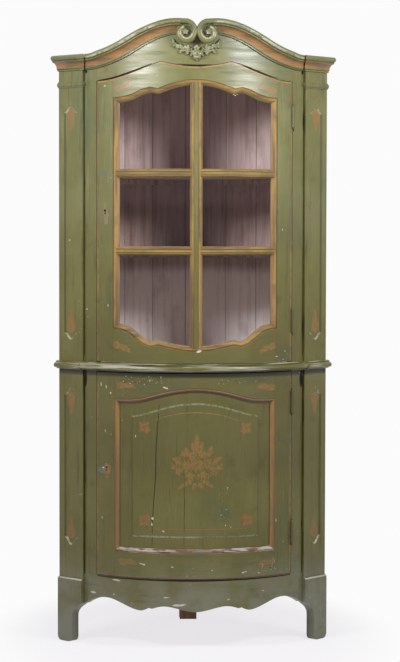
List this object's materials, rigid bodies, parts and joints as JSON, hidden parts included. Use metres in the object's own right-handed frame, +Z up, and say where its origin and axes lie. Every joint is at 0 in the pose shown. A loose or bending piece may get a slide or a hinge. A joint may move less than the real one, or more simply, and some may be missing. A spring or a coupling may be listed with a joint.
{
  "type": "corner cupboard",
  "caption": "Bow-fronted corner cupboard with a glazed upper door, panelled lower door, canted pilasters and a scrolled swan-neck cornice.",
  "frame": {"origin": "middle of the footprint at floor level", "axes": "+Z up, +X to the right seen from the front, +Y from the front towards the corner of the room"},
  "size_m": [1.0612, 0.775, 2.2975],
  "materials": {
    "green_paint": "worn olive green oil paint on pine, with gilt and ochre edges",
    "cornice_paint": "worn green oil paint with an orange cavetto and gilt details",
    "interior_paint": "pale mauve distemper on pine boards",
    "bare_pine": "old reddish pine, unpainted",
    "window_glass": "clear old sheet glass, bent to the bow",
    "wrought_iron": "dark wrought iron, rubbed"
  },
  "bodies": {
    "cabinet": {"apron_rail": "green_paint", "cornice_return_left": "cornice_paint", "cornice_return_right": "cornice_paint", "festoon": "cornice_paint", "foot_left": "green_paint", "foot_right": "green_paint", "frieze_board": "green_paint", "lower_back_left": "interior_paint", "lower_back_right": "interior_paint", "lower_bottom_board": "interior_paint", "lower_hinge_high_frame_leaf": "wrought_iron", "lower_hinge_low_frame_leaf": "wrought_iron", "lower_pilaster_left": "green_paint", "lower_pilaster_right": "green_paint", "lower_shelf": "interior_paint", "lower_stile_left": "green_paint", "lower_stile_right": "green_paint", "rear_post": "bare_pine", "swan_neck_left": "cornice_paint", "swan_neck_right": "cornice_paint", "upper_back_left": "interior_paint", "upper_back_right": "interior_paint", "upper_corner_board": "interior_paint", "upper_hinge_high_frame_leaf": "wrought_iron", "upper_hinge_low_frame_leaf": "wrought_iron", "upper_pilaster_left": "green_paint", "upper_pilaster_right": "green_paint", "upper_shelf_high": "interior_paint", "upper_shelf_low": "interior_paint", "upper_stile_left": "green_paint", "upper_stile_right": "green_paint", "upper_top_board": "interior_paint", "waist_board": "interior_paint", "waist_moulding": "cornice_paint"},
    "upper_door": {"glazing_bar_high": "green_paint", "glazing_bar_low": "green_paint", "glazing_bar_upright": "green_paint", "pane_bottom_left": "window_glass", "pane_bottom_right": "window_glass", "pane_middle_left": "window_glass", "pane_middle_right": "window_glass", "pane_top_left": "window_glass", "pane_top_right": "window_glass", "upper_door_bottom_rail": "green_paint", "upper_door_stile_left": "green_paint", "upper_door_stile_right": "green_paint", "upper_door_top_rail": "green_paint", "upper_hinge_high_door_leaf": "wrought_iron", "upper_hinge_low_door_leaf": "wrought_iron", "upper_lock_case": "wrought_iron"},
    "lower_door": {"lower_door_bottom_rail": "green_paint", "lower_door_panel": "green_paint", "lower_door_stile_left": "green_paint", "lower_door_stile_right": "green_paint", "lower_door_top_rail": "green_paint", "lower_hinge_high_door_leaf": "wrought_iron", "lower_hinge_low_door_leaf": "wrought_iron", "lower_lock_case": "wrought_iron"},
    "upper_bolt": {"upper_lock_bolt": "wrought_iron"},
    "lower_bolt": {"lower_lock_bolt": "wrought_iron"}
  },
  "joints": [
    {"name": "upper_door_hinge", "type": "hinge", "parent": "cabinet", "child": "upper_door", "pos_m": [0.36241, -0.21182, 1.579], "axis": [0, 0, 1], "range_deg": [0, 120]},
    {"name": "lower_door_hinge", "type": "hinge", "parent": "cabinet", "child": "lower_door", "pos_m": [0.36241, -0.21182, 0.6605], "axis": [0, 0, 1], "range_deg": [0, 120]},
    {"name": "upper_lock_throw", "type": "slide", "parent": "upper_door", "child": "upper_bolt", "axis": [-0.7874, 0.6165, 0], "range_m": [0, 0.01]},
    {"name": "lower_lock_throw", "type": "slide", "parent": "lower_door", "child": "lower_bolt", "axis": [-0.7874, 0.6165, 0], "range_m": [0, 0.01]}
  ]
}
